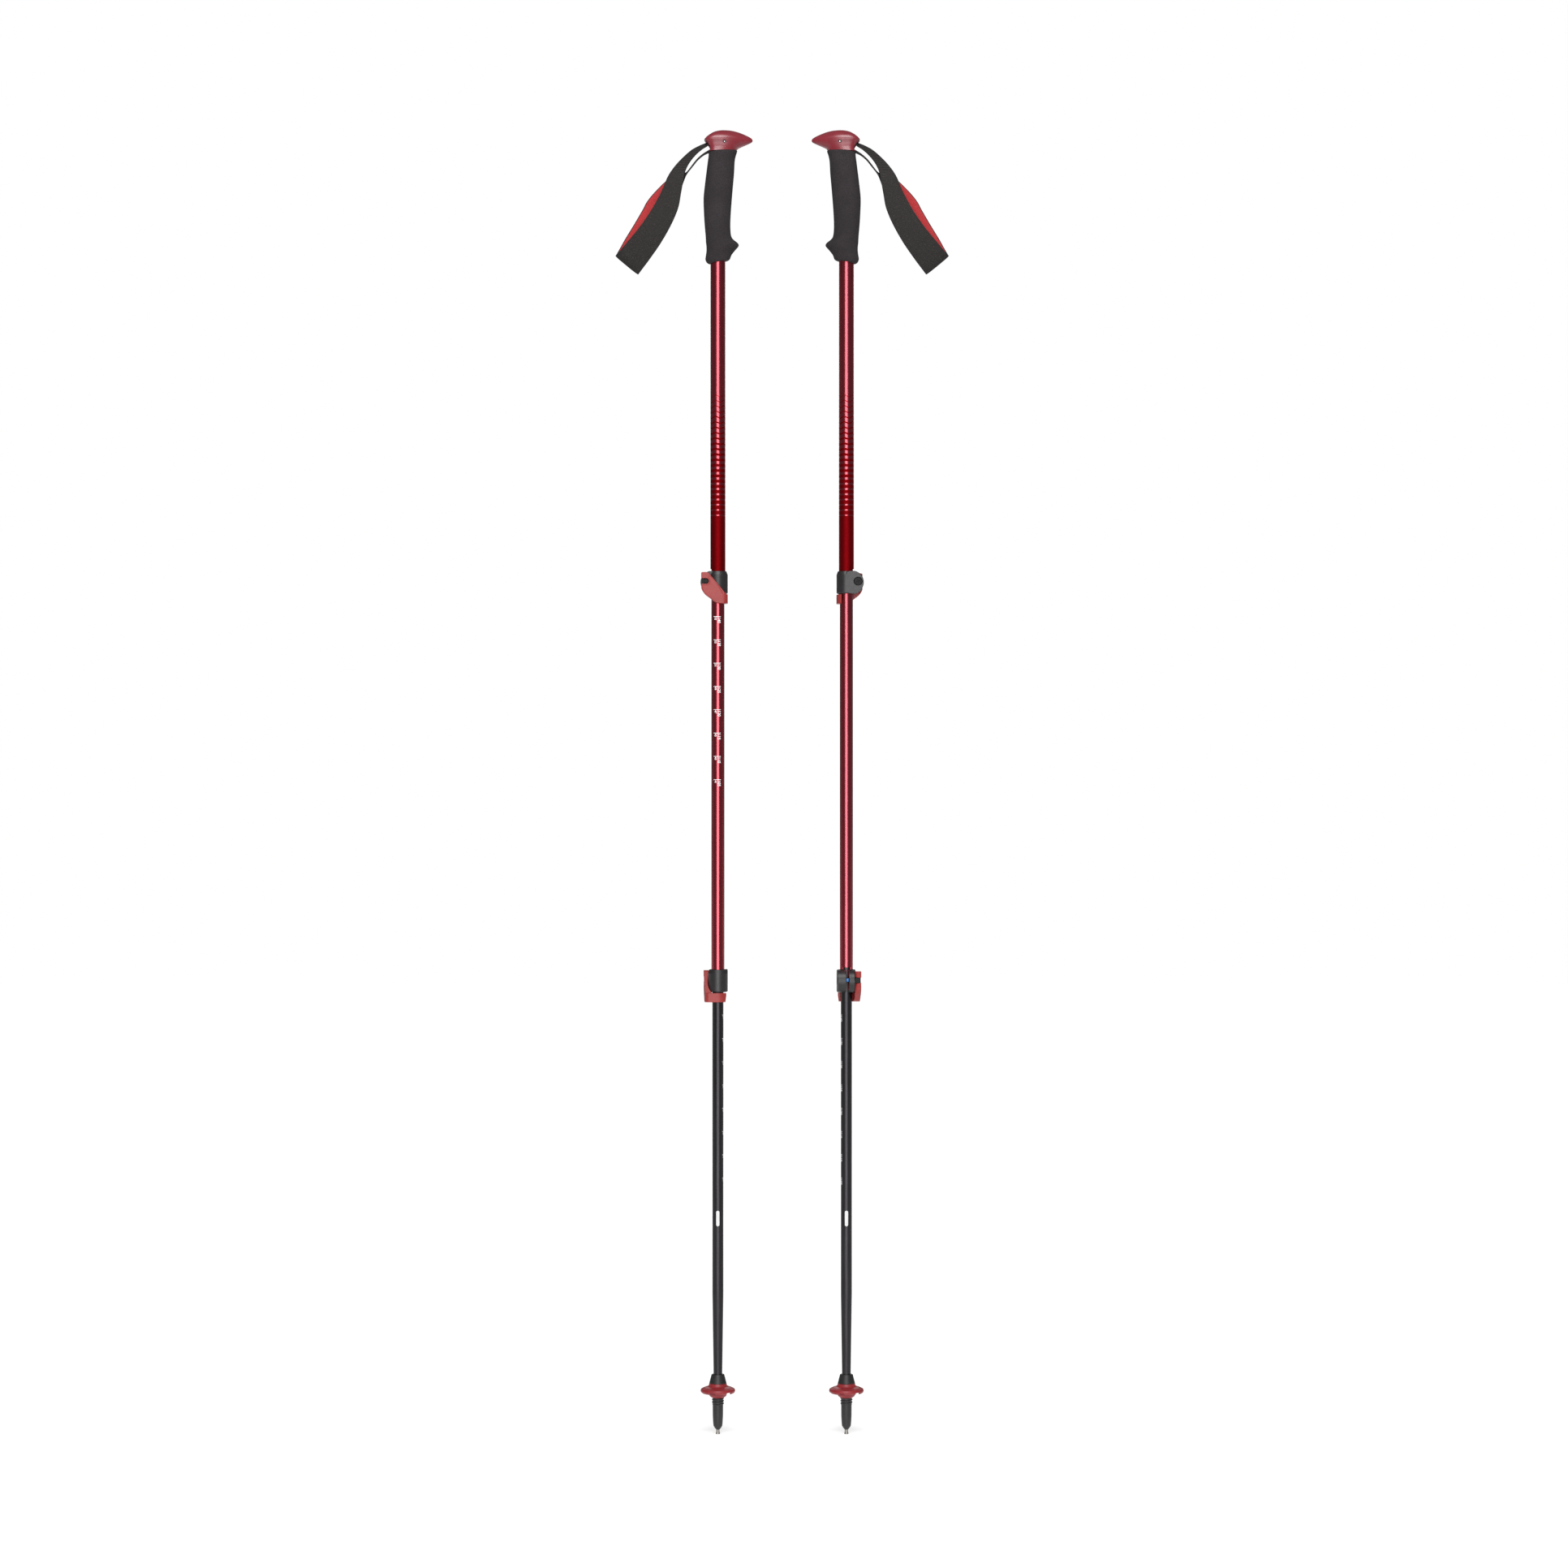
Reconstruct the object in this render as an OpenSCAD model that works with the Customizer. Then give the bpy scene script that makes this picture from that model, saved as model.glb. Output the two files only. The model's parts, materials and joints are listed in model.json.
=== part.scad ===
// Pair of three-section trekking poles with foam grips, wrist straps and lever locks.
// The poles stand upright and face each other. The origin is on the ground midway between
// the two tips, +Z is up and +X runs from the left pole to the right one.
// Each part is drawn in its own pole's frame: axis on Z, beak towards +X, strap towards -X.
// The right pole is the left one turned half round, and its strap is the mirror image.

/* [Pair] */
// Distance between the two pole axes
pole_spacing = 138; // [120:1:200]
// Height of each pole at its full length
pole_height = 1400; // [1395:1:1410]

/* [Shafts] */
// Outer diameter of the upper shaft
upper_d = 16; // [15.9:0.1:16.1]
// Outer diameter of the middle shaft
middle_d = 14; // [13.9:0.1:14.1]
// Outer diameter of the lower shaft
lower_d = 12; // [11.9:0.1:12.1]
// Radial clearance of a shaft that slides inside another
slide_gap = 0.05; // [0.04:0.01:0.1]
// Length of each inner shaft that stays inside the shaft above it at full length
overlap = 68; // [60:1:80]
// Diameter of the lower shaft's tapered end
lower_end_d = 9.5; // [9.4:0.1:9.8]

/* [Locks] */
// Height of the upper collar's middle
upper_lock_z = 914.3; // [905:0.1:925]
// Height of the lower collar's middle
lower_lock_z = 486.9; // [480:0.1:500]
// Height of each collar
collar_h = 24.2; // [23.5:0.1:25]
// Outer radius of each collar
collar_r = 10.6; // [10.4:0.1:10.8]
// Turn of the lower lock about the pole, from the upper lock
lower_lock_turn = -86; // [-95:1:-80]
// Width of the slit between a collar's two ears
slit_w = 3; // [2.6:0.1:3.4]
// Distance of the clamp screw from the pole axis
screw_x = 12.4; // [12.2:0.1:12.6]

/* [Grip] */
// Height of the foam grip's top at the back
seam_z = 1376.3; // [1376:0.1:1376.6]
// Radius of the pin across the head
pin_r = 1.5; // [1.2:0.1:1.6]
// Width of the strap where it enters the head
strap_root_w = 16; // [15:0.5:16.5]
// Thickness of the strap's webbing
webbing_t = 1.6; // [1.4:0.1:1.8]

/* [Tip] */
// Radius of the basket's rim
basket_r = 18.7; // [18:0.1:20]
// Radius of the flexible tip's thread crests
thread_r = 6.55; // [6.4:0.05:6.6]
// Number of notches in the basket's rim
basket_notches = 6; // [2:1:8]

/* [Hidden] */
$fn = 48;
SIDES = ["left", "right"];
PIECES = [
    "grip_head", "strap_pin", "strap_cam", "strap_anchor", "strap_webbing", "strap_lining",
    "foam_grip", "upper_shaft", "upper_collar", "upper_lever", "upper_clamp_screw",
    "upper_barrel_nut", "middle_shaft", "middle_bush", "lower_collar", "lower_lever",
    "lower_clamp_screw", "lower_barrel_nut", "lower_shaft", "lower_bush", "flex_tip",
    "basket", "carbide_tip"];
NODES = [for (side = SIDES) for (piece = PIECES) str(side, "_", piece)];
node = "all";

small_gap = 0.1;          // between faces that rest against each other
part_gap = 0.3;           // between curved faces on parts that move
upper_r = upper_d / 2;
middle_r = middle_d / 2;
lower_r = lower_d / 2;
upper_bore_r = middle_r + slide_gap;
middle_bore_r = lower_r + slide_gap;
lower_bore_r = lower_r - 0.8;
lip_h = 2.4;              // lip at a collar's foot, below the end of the outer shaft
lock_top = collar_h / 2;

// Shaft ends
upper_foot_z = upper_lock_z - lock_top + lip_h;
upper_top_z = 1376;
middle_foot_z = lower_lock_z - lock_top + lip_h;
middle_top_z = upper_foot_z + overlap;
lower_foot_z = 33;
lower_top_z = middle_foot_z + overlap;
bush_plug = 20;           // length of a guide bush that is inside its shaft
bush_head = 5;            // length of a guide bush above its shaft

// Head and strap
pin_x = 7.2;
pin_z = 1386.2;
mouth_w = 17.6;             // width of the slot that the strap runs through
spigot_foot_z = 1348;     // foot of the head's plug in the upper shaft
roller_r = 4;             // radius of the strap cam's barrel
cam_half_w = 8.4;         // half width of the strap cam

// Lock
ear_r = 12.3;             // radius of the ears seen from the side
ear_x = 6.2;              // distance of the ears' centre from the pole axis
head_ear_y = 10.6;        // outer face of the ear under the screw head
lever_ear_y = 7.8;        // outer face of the ear under the lever
cam_r = 4.3;              // radius of the lever's cam
nut_y = lever_ear_y + cam_r + small_gap;
nut_r = 1.9;
screw_z = 1;              // height of the screw above the collar's middle
screw_r = 1.95;
slot_h = 5.8;             // height of the slot in the lever for the nut
lever_out_y = 14.6;       // outer face of the lever
lever_foot = -22.8;       // foot of the lever below the collar's middle
lever_end_x = 10.6;       // end of the lever past the pole axis
lever_corner_r = 5;       // turn of the lever's face into its hook
hook_top = -13;           // top of the hook round the shaft below the collar
hook_in_r = 7.8;
hook_end = 58;            // how far the hook wraps past the lever's end, in degrees

// Points of an arc in the plane, about a centre
function arc(cx, cy, r, from, to, steps = 8) =
    [for (i = [0 : steps]) let (a = from + (to - from) * i / steps)
        [cx + r * cos(a), cy + r * sin(a)]];

// Smooth curve through points, without the last one, in so many steps from each to the next
function curve(points, steps) =
    [for (i = [0 : len(points) - 2], k = [0 : steps - 1])
        let (a = points[max(i - 1, 0)], b = points[i], c = points[i + 1],
            d = points[min(i + 2, len(points) - 1)], t = k / steps)
        (2 * b + (c - a) * t + (2 * a - 5 * b + 4 * c - d) * t * t
            + (3 * b - a - 3 * c + d) * t * t * t) / 2];

// Faces that close a stack of rings of the same number of points into a solid
function ring_faces(rings, sides) = concat(
    [[for (i = [sides - 1 : -1 : 0]) i]],
    [for (k = [0 : rings - 2]) for (i = [0 : sides - 1]) each [
        [k * sides + i, k * sides + (i + 1) % sides, (k + 1) * sides + i],
        [k * sides + (i + 1) % sides, (k + 1) * sides + (i + 1) % sides, (k + 1) * sides + i]]],
    [[for (i = [0 : sides - 1]) (rings - 1) * sides + i]]);

// Extrudes a side view, drawn with x across and z up, along the pole's Y axis
module side_extrude(from_y, to_y) {
    translate([0, to_y, 0])
        rotate([90, 0, 0])
            linear_extrude(to_y - from_y) children();
}

// A cylinder along Y between two depths
module cross_cylinder(x, z, r, from_y, to_y) {
    translate([x, to_y, z])
        rotate([90, 0, 0])
            cylinder(r = r, h = to_y - from_y);
}

// ---------------------------------------------------------------- head and strap

// Side view of the head: dome on top, beak in front, overhang at the back
head_side = [
    [-9.2, seam_z], [20, 1378.1], [21.8, 1379.3], [25.3, 1381.7], [30.8, 1384], [36, 1386.2],
    [37.2, 1388.5], [35.8, 1391.5], [30.3, 1394.5], [23.8, 1397.2], [16.3, 1399.2],
    [7.8, pole_height], [0.8, 1399.5], [-4.2, 1398], [-9.7, 1394.5], [-14.7, 1389.5],
    [-11.7, 1385.5], [-9.7, 1382.5], [-8.6, 1379]];

// Half of the head's plan: length along the pole's X axis, half width
head_plan = [
    [-14.8, 9.6], [-13.6, 11.2], [-11, 12.7], [-7, 13.9], [0, 14.6], [8, 14.4], [16, 12.6], [24, 9.8],
    [32, 7], [36, 5], [37.3, 2.5]];

// Half of the head's front view: half width, height
head_front = [[13.8, 1370], [14.6, 1386], [13.6, 1392], [10.5, 1397], [6, 1399.4], [2, 1400.1]];

function both_halves(half) = concat(half, [for (i = [len(half) - 1 : -1 : 0]) [half[i][0], -half[i][1]]]);
function both_sides(half) = concat(half, [for (i = [len(half) - 1 : -1 : 0]) [-half[i][0], half[i][1]]]);

module head_body() {
    intersection() {
        side_extrude(-20, 20) polygon(head_side);
        translate([0, 0, seam_z - 10]) linear_extrude(40) polygon(both_halves(head_plan));
        translate([-20, 0, 0])
            rotate([90, 0, 90])
                linear_extrude(70) polygon(both_sides(head_front));
    }
}

// Slot that the strap runs through, open at the back under the overhang
module strap_slot() {
    side_extrude(-mouth_w / 2, mouth_w / 2) {
        polygon([[-20, 1377.2], [-4, 1377.2], [pin_x, pin_z - 6.5], [pin_x, 1395],
            [-1, 1395], [-7, 1389.6], [-20, 1388.6]]);
        translate([pin_x, pin_z]) circle(r = 6.5);
    }
}

module grip_head() {
    color("firebrick") difference() {
        union() {
            head_body();
            translate([0, 0, spigot_foot_z]) cylinder(r = upper_bore_r - small_gap, h = 30);
        }
        strap_slot();
        cross_cylinder(pin_x, pin_z, pin_r + small_gap / 2, -20, 20);
    }
}

module strap_pin() {
    color("silver") cross_cylinder(pin_x, pin_z, pin_r, -12.8, 12.8);
}

// Locking cam on the pin: a barrel with a lobe that presses the lower strand
module strap_cam() {
    color("dimgray") difference() {
        side_extrude(-cam_half_w, cam_half_w) {
            translate([pin_x, pin_z]) circle(r = roller_r);
            polygon([[pin_x - 4, pin_z + 0.5], [pin_x - 6.6, pin_z - 2.6],
                [pin_x - 5.8, pin_z - 3.6], [pin_x - 1.5, pin_z - 3.6]]);
        }
        cross_cylinder(pin_x, pin_z, pin_r + small_gap / 2, -20, 20);
    }
}

// Stretch of webbing inside the head, wrapped over the cam
module strap_anchor() {
    in_r = roller_r + 0.2;
    out_r = in_r + webbing_t;
    color("black") side_extrude(-strap_root_w / 2, strap_root_w / 2)
        polygon(concat(
            arc(pin_x, pin_z, out_r, -90, 90),
            [[-1.5, pin_z + out_r - 0.4], [-11, 1386.2], [-11, 1386.2 - webbing_t],
                [-1.5, pin_z + in_r - 0.4]],
            arc(pin_x, pin_z, in_r, 90, -90),
            [[pin_x - 4, pin_z - in_r], [-5.5, 1380.2], [-5.2, 1380.2 - webbing_t],
                [pin_x - 3, pin_z - out_r]]));
}

// Stations along the strap, from the head down the near strand, round the fold at the wrist
// and up the far strand: a point on its outer edge, and one on its inner edge
strap_route = [
    [[-18, 7.5, 1385.4], [-15.2, -7.5, 1379.7]], [[-27.7, 6.9, 1380], [-22.5, -6.9, 1373.9]],
    [[-38.8, 5.5, 1370.2], [-29.9, -6.8, 1365.2]], [[-48.2, 0.5, 1358.5], [-36.4, -7.5, 1350.9]],
    [[-54.4, -6, 1347.9], [-37.5, -9, 1340]], [[-60.5, -10, 1332.4], [-40, -10.5, 1326]],
    [[-69.9, -11.5, 1314.6], [-45.5, -11.5, 1305.7]], [[-83.3, -12, 1294.6], [-57, -12, 1283]],
    [[-97.7, -9, 1277.9], [-73.3, -9, 1260.1]], [[-108.4, -2.6, 1266.4], [-84.4, -2.6, 1246]],
    [[-109.2, 2.6, 1266.6], [-85.2, 2.6, 1246.2]], [[-99.9, 8.4, 1284.6], [-74.4, 8.4, 1269]],
    [[-86.6, 11, 1306.8], [-63.6, 11, 1292.8]], [[-76.6, 11.5, 1325.1], [-54.9, 11.5, 1312.6]],
    [[-67.7, 11.5, 1335.7], [-47.5, 10.5, 1325]], [[-54.4, 10.5, 1348.5], [-39.5, 4, 1338.5]],
    [[-42, 9.8, 1354.4], [-35.4, -3.2, 1348.6]], [[-32.3, 8, 1356], [-31.7, -8, 1355.2]],
    [[-22.1, 8, 1368.5], [-22.1, -8, 1368.5]], [[-13.2, 8, 1375], [-13.2, -8, 1375]]];
lining_from = 4;
lining_to = 15;

// Direction of the strap at a station
function route_dir(i) =
    let (a = strap_route[max(i - 1, 0)], b = strap_route[min(i + 1, len(strap_route) - 1)],
        d = b[0] + b[1] - a[0] - a[1])
    d / norm(d);

// Four corners of the strap's section at a station. A shift is towards the wrist's side.
function route_section(i, t, trim = 0, shift = 0) =
    let (outer = strap_route[i][0], inner = strap_route[i][1],
        across = (outer - inner) / norm(outer - inner),
        face = cross(route_dir(i), across), n = face / norm(face))
    [for (corner = [[outer - across * trim, shift + t / 2], [inner + across * trim, shift + t / 2],
        [inner + across * trim, shift - t / 2], [outer - across * trim, shift - t / 2]])
        corner[0] + n * corner[1]];

// Faces of a flat strip of four-cornered sections. Both of its broad faces are split along the
// same diagonal, so that the strip keeps its thickness where it twists.
function strip_faces(rings) = concat(
    [[3, 2, 1, 0]],
    [for (k = [0 : rings - 2]) for (i = [0 : 3])
        let (a = 4 * k + i, b = 4 * k + (i + 1) % 4, c = a + 4, d = b + 4)
        each i == 2 ? [[a, b, d], [a, d, c]] : [[a, b, c], [b, d, c]]],
    [[for (i = [0 : 3]) 4 * (rings - 1) + i]]);

module strap_ribbon(from, to, t, trim, shift) {
    points = [for (i = [from : to]) each route_section(i, t, trim, shift)];
    polyhedron(points = points, faces = strip_faces(to - from + 1));
}

module strap_webbing() {
    color("black") strap_ribbon(0, len(strap_route) - 1, webbing_t, 0, 0);
}

module strap_lining() {
    color("crimson") strap_ribbon(lining_from, lining_to, 0.8, 1.5, webbing_t / 2 + 0.8);
}

// ---------------------------------------------------------------- foam grip

// Rings down the grip: height, back, front, half width, rise towards the front
grip_rings = [
    [1257.6, -11.4, 12, 11.6, 0.16], [1262.5, -13.2, 13.8, 12.8, 0.12],
    [1269, -12.4, 17.2, 12.4, 0.04], [1274.5, -12.4, 20.8, 12.6, 0],
    [1278, -13, 21.6, 12.8, 0], [1283, -13.4, 16.2, 13, 0], [1288, -14, 14.6, 13.4, 0],
    [1298, -15, 14, 14.2, 0], [1313, -15.8, 14.8, 14.8, 0], [1331, -15.7, 15.7, 14.8, 0],
    [1348, -13.9, 17, 14.4, 0.02], [1365, -11.4, 18.2, 14, 0.05], [1376.6, -10, 20.2, 13.8, 0.06]];
grip_sides = 28;

module foam_grip() {
    points = [for (g = grip_rings) for (i = [0 : grip_sides - 1])
        let (a = 360 * i / grip_sides, x = (g[1] + g[2]) / 2 + (g[2] - g[1]) / 2 * cos(a))
        [x, g[3] * sin(a), g[0] + g[4] * x]];
    color("#302e30") difference() {
        polyhedron(points = points, faces = ring_faces(len(grip_rings), grip_sides));
        translate([0, 0, 1200]) cylinder(r = upper_r + 0.02, h = 250);
    }
}

// ---------------------------------------------------------------- shafts

// Tube with a slit and a cross relief at its foot, so that the collar can squeeze it
module slit_tube(r, bore_r, foot_z, top_z, turn) {
    slit_h = collar_h + 0.6;
    difference() {
        translate([0, 0, foot_z]) cylinder(r = r, h = top_z - foot_z);
        translate([0, 0, foot_z - 1]) cylinder(r = bore_r, h = top_z - foot_z + 2);
        rotate([0, 0, turn]) {
            translate([-r - 1, -slit_w / 4, foot_z - 1]) cube([r, slit_w / 2, slit_h]);
            translate([-r - 1, -4.2, foot_z + slit_h - 3.4]) cube([3.4, 8.4, 2.8]);
        }
    }
}

module upper_shaft() {
    color("#8c1220") slit_tube(upper_r, upper_bore_r, upper_foot_z, upper_top_z, 0);
}

module middle_shaft() {
    color("#8c1220")
        slit_tube(middle_r, middle_bore_r, middle_foot_z, middle_top_z, lower_lock_turn);
}

// The lower shaft is straight down to the taper above the tip
module lower_shaft() {
    taper_top = 150;
    taper_foot = 66;
    end_r = lower_end_d / 2;
    color("#1e1c1e") rotate_extrude()
        polygon([[lower_bore_r - 1.6, lower_foot_z], [end_r, lower_foot_z], [end_r, taper_foot],
            [lower_r, taper_top], [lower_r, lower_top_z], [lower_bore_r, lower_top_z],
            [lower_bore_r, taper_top], [lower_bore_r - 1.6, taper_foot]]);
}

// Guide bush at the top of an inner shaft: a plug inside it and a head that rides in the
// shaft outside
module guide_bush(head_r, plug_r, top_z) {
    color("#3a383c") translate([0, 0, top_z - bush_plug]) difference() {
        union() {
            cylinder(r = plug_r, h = bush_plug + small_gap);
            translate([0, 0, bush_plug + small_gap]) cylinder(r = head_r, h = bush_head);
        }
        translate([0, 0, -1]) cylinder(r = 3, h = bush_plug + bush_head + 3);
    }
}

module middle_bush() {
    guide_bush(middle_r, middle_bore_r - small_gap / 2, middle_top_z);
}

module lower_bush() {
    guide_bush(lower_r, lower_bore_r - small_gap / 2, lower_top_z);
}

// ---------------------------------------------------------------- lever locks

// Places a lock part at one of the two locks; the ears point to -X, the lever is on -Y
module at_upper_lock() {
    translate([0, 0, upper_lock_z]) children();
}

module at_lower_lock() {
    translate([0, 0, lower_lock_z]) rotate([0, 0, lower_lock_turn]) children();
}

module collar(outer_r, inner_r) {
    half = collar_h / 2;
    color("#4b494e") difference() {
        union() {
            rotate_extrude() polygon([[0, -half], [collar_r - 0.8, -half], [collar_r, -half + 0.8],
                [collar_r, half - 3.9], [collar_r - 1.4, half], [0, half]]);
            intersection() {
                cross_cylinder(-ear_x, 0, ear_r, -lever_ear_y, head_ear_y);
                translate([-30, -20, -half]) cube([30, 40, collar_h]);
            }
        }
        translate([0, 0, -half + lip_h]) cylinder(r = outer_r, h = collar_h);
        translate([0, 0, -half - 1]) cylinder(r = inner_r, h = lip_h + 2);
        translate([-30, -slit_w / 2, -half - 1]) cube([30, slit_w, collar_h + 2]);
        cross_cylinder(-screw_x, screw_z, screw_r + 0.25, -20, 20);
        cross_cylinder(-screw_x, screw_z, 4.5, head_ear_y - 3.2, 20);
    }
}

module upper_collar() {
    at_upper_lock() collar(upper_r + small_gap / 2, middle_r + 0.2);
}

module lower_collar() {
    at_lower_lock() collar(middle_r + small_gap / 2, lower_r + 0.2);
}

// Pan head screw through both ears and the barrel nut, with a cross recess in its head
module clamp_screw() {
    seat = head_ear_y - 3.2;
    color("#333333") difference() {
        union() {
            cross_cylinder(-screw_x, screw_z, screw_r, -nut_y - 1.6, seat + 1);
            cross_cylinder(-screw_x, screw_z, 4, seat + 0.1, seat + 2.6);
        }
        for (turn = [0, 90])
            translate([-screw_x, seat + 2.6, screw_z])
                rotate([0, turn + 20, 0])
                    cube([4.4, 2.4, 0.9], center = true);
    }
}

// Barrel nut: an upright barrel that the lever turns on, and a block for the screw that fills
// the lever's slot
module barrel_nut() {
    block_r = slot_h / 2 - part_gap;
    block_out_y = nut_y + 0.8;
    block_in_y = lever_ear_y + 0.5;
    color("#555555") difference() {
        union() {
            translate([-screw_x, -nut_y, screw_z - 8]) cylinder(r = nut_r, h = 16);
            cross_cylinder(-screw_x, screw_z, block_r, -block_out_y, -block_in_y);
            translate([-screw_x - 5, -block_out_y, screw_z - block_r])
                cube([5, block_out_y - block_in_y, 2 * block_r]);
        }
        cross_cylinder(-screw_x, screw_z, screw_r + 0.05, -30, 0);
    }
}

// Face of the lever, seen from its own side
lever_face = concat(
    curve([[-18.4, 0], [-18.3, -3], [-17, -8.2], [-13.7, -13.1], [-8.6, -17.1], [-4, -20.7],
        [-0.8, -22.3], [3, lever_foot]], 3),
    [[3, lever_foot], [30, lever_foot], [30, hook_top], [9.1, hook_top], [-0.4, -1.3]],
    curve([[-9, 9], [-11.4, 10.5], [-16.2, 10.5], [-18, 9.6], [-18.4, 7.6]], 3));

// Plan of the lever: cam at the nut, plate past the collar and hook round the shaft
lever_plan = concat(
    arc(-screw_x, -nut_y, cam_r, 90, 160, 6),
    [[-screw_x - 4.5, -nut_y], [-screw_x - 5.3, -nut_y - 1.7], [-screw_x - 4.7, -lever_out_y]],
    arc(lever_end_x - lever_corner_r, lever_corner_r - lever_out_y, lever_corner_r, -90, 0, 6),
    arc(0, 0, lever_end_x, 0, hook_end, 6),
    arc(0, 0, hook_in_r, hook_end - 8, -100, 12),
    [[-8, -8.2]]);

module lever() {
    color("#aa3c3c") difference() {
        intersection() {
            side_extrude(-30, 30) polygon(lever_face);
            translate([0, 0, -30]) linear_extrude(60) polygon(lever_plan);
        }
        // Room for the collar above the hook
        translate([0, 0, hook_top]) cylinder(r = collar_r + part_gap, h = 40);
        // Slanted end of the hook, shorter at its foot
        rotate([0, 0, hook_end - 12])
            translate([4, 0, lever_foot - 2])
                rotate([-13, 0, 0]) cube([12, 12, 14]);
        // Slot for the nut's sleeve, open at the end
        translate([-30, -30, screw_z - slot_h / 2]) cube([30 - screw_x, 30, slot_h]);
        cross_cylinder(-screw_x, screw_z, slot_h / 2, -30, 0);
        // Bore for the nut's barrel
        translate([-screw_x, -nut_y, screw_z - 8.2])
            cylinder(r = nut_r + slide_gap, h = 16.4);
    }
}

module upper_lever() { at_upper_lock() lever(); }
module upper_clamp_screw() { at_upper_lock() clamp_screw(); }
module upper_barrel_nut() { at_upper_lock() barrel_nut(); }
module lower_lever() { at_lower_lock() lever(); }
module lower_clamp_screw() { at_lower_lock() clamp_screw(); }
module lower_barrel_nut() { at_lower_lock() barrel_nut(); }

// ---------------------------------------------------------------- tip and basket

thread_pitch = 2.8;
thread_foot_z = 31.5;
cone_foot_z = 54.6;
cone_top_z = 64.2;
barrel_r = 5.6;
notch_turn = 13;

module flex_tip() {
    core_r = thread_r - 0.65;
    color("#2d2b2d") difference() {
        rotate_extrude() polygon(concat(
            [[0, 5], [2.1, 5], [3.6, 6.7], [4.5, 8.6], [5, 10.5], [5.3, 14], [barrel_r, 20],
                [barrel_r, thread_foot_z]],
            [for (k = [0 : 7]) each [
                [thread_r, thread_foot_z + k * thread_pitch + 0.7],
                [thread_r, thread_foot_z + k * thread_pitch + 1.3],
                [core_r, thread_foot_z + k * thread_pitch + 1.9],
                [core_r, thread_foot_z + k * thread_pitch + 2.7]]],
            [[core_r, cone_foot_z], [9.15, cone_foot_z], [9.15, cone_foot_z + 1],
                [6.8, cone_top_z], [0, cone_top_z]]));
        translate([0, 0, lower_foot_z - 0.5]) cylinder(r = lower_end_d / 2 + 0.03, h = 60);
        translate([0, 0, 3]) cylinder(r = 1.43, h = 12);
    }
}

module carbide_tip() {
    color("#827d78") rotate_extrude()
        polygon([[0, 0.9], [1.3, 0.6], [2.2, 0], [2.3, 0.5], [1.95, 2.2], [1.8, 4.9], [1.4, 4.9],
            [1.4, 14], [0, 14]]);
}

// The basket screws onto the tip's thread; its rim turns down and is notched
module basket() {
    hub_in_r = thread_r + 0.05;
    color("#96232d") difference() {
        rotate_extrude() polygon([
            [hub_in_r, cone_foot_z - small_gap], [9.45, cone_foot_z - small_gap], [9.7, 52.6],
            [11.2, 51.2], [14.8, 50.2], [basket_r - 0.7, 48.6], [basket_r, 46.8],
            [basket_r - 0.6, 45], [basket_r - 2, 44], [basket_r - 3, 44.3], [basket_r - 2.6, 46],
            [14.5, 47.2], [10, 47.2], [9.6, 46.4], [9.6, 42.4], [8.8, 40.8], [hub_in_r, 39.1]]);
        for (k = [0 : basket_notches - 1])
            rotate([0, 0, notch_turn + 360 * k / basket_notches])
                translate([basket_r - 4, -3, 42]) cube([6, 6, 4.2]);
    }
}

// ---------------------------------------------------------------- assembly

// Moves a part from its pole's frame to the pole's place
module place(side) {
    translate([side == "left" ? -pole_spacing / 2 : pole_spacing / 2, 0, 0])
        rotate([0, 0, side == "left" ? 0 : 180])
            children();
}

// The straps are made for the left and the right hand
module handed(side) {
    mirror([0, side == "left" ? 0 : 1, 0]) children();
}

function wanted(side, piece) = node == "all" || node == str(side, "_", piece);

for (side = SIDES) place(side) {
    if (wanted(side, "grip_head")) grip_head();
    if (wanted(side, "strap_pin")) strap_pin();
    if (wanted(side, "strap_cam")) strap_cam();
    if (wanted(side, "strap_anchor")) strap_anchor();
    if (wanted(side, "strap_webbing")) handed(side) strap_webbing();
    if (wanted(side, "strap_lining")) handed(side) strap_lining();
    if (wanted(side, "foam_grip")) foam_grip();
    if (wanted(side, "upper_shaft")) upper_shaft();
    if (wanted(side, "upper_collar")) upper_collar();
    if (wanted(side, "upper_lever")) upper_lever();
    if (wanted(side, "upper_clamp_screw")) upper_clamp_screw();
    if (wanted(side, "upper_barrel_nut")) upper_barrel_nut();
    if (wanted(side, "middle_shaft")) middle_shaft();
    if (wanted(side, "middle_bush")) middle_bush();
    if (wanted(side, "lower_collar")) lower_collar();
    if (wanted(side, "lower_lever")) lower_lever();
    if (wanted(side, "lower_clamp_screw")) lower_clamp_screw();
    if (wanted(side, "lower_barrel_nut")) lower_barrel_nut();
    if (wanted(side, "lower_shaft")) lower_shaft();
    if (wanted(side, "lower_bush")) lower_bush();
    if (wanted(side, "flex_tip")) flex_tip();
    if (wanted(side, "basket")) basket();
    if (wanted(side, "carbide_tip")) carbide_tip();
}
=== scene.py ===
"""Looks for a pair of trekking poles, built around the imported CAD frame."""
import json
import math

import bmesh
import bpy
from mathutils import Matrix, Vector


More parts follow.
